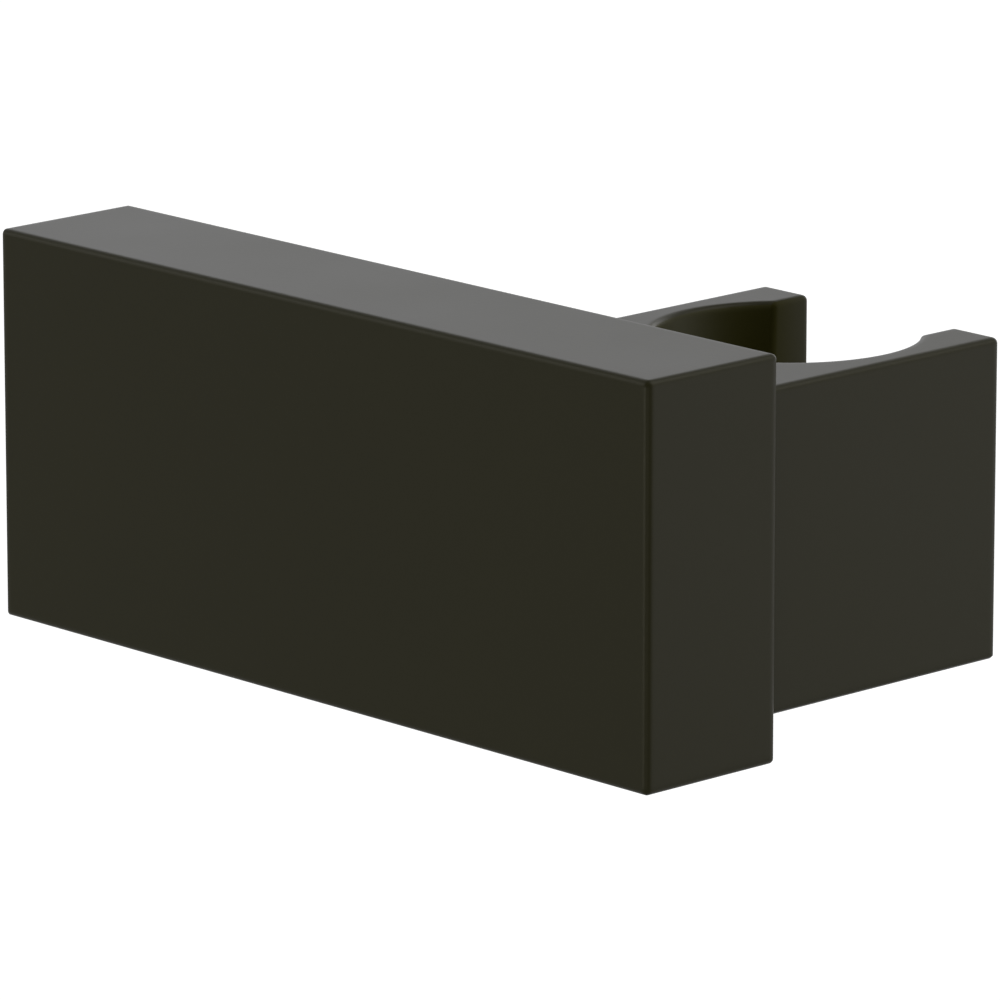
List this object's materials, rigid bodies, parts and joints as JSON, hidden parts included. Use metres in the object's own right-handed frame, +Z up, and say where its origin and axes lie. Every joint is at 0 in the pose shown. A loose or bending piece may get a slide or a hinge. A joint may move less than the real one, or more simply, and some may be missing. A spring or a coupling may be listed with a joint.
{
  "type": "hand shower holder",
  "caption": "Square matt black wall arm with a block-shaped cradle on its side; the slotted tapered seat holds a hand shower and tilts about a horizontal pivot.",
  "frame": {"origin": "centre of the arm's wall face, midway between the two wall screw holes", "axes": "+Y into the wall, -Y out along the arm, +X from the arm towards the cradle along the tilt axis, +Z up"},
  "size_m": [0.0474, 0.0883, 0.038],
  "materials": {
    "black_paint": "matt black powder coat",
    "bracket_brass": "machined, bare",
    "stainless_steel": "turned stainless steel",
    "spring_steel": "oiled spring steel",
    "natural_acetal": "turned acetal",
    "black_acetal": "turned acetal"
  },
  "bodies": {
    "arm": {"arm": "black_paint", "wall_bracket": "bracket_brass", "grub_screw": "stainless_steel", "pivot_screw": "stainless_steel", "disc_springs": "spring_steel", "friction_disc": "black_acetal", "stop_pin": "stainless_steel"},
    "cradle": {"cradle": "black_paint", "pivot_bush": "natural_acetal"}
  },
  "joints": [
    {"name": "cradle_tilt", "type": "hinge", "parent": "arm", "child": "cradle", "pos_m": [0.0116, -0.0708, 0], "axis": [1, 0, 0], "range_deg": [-45, 45]}
  ]
}
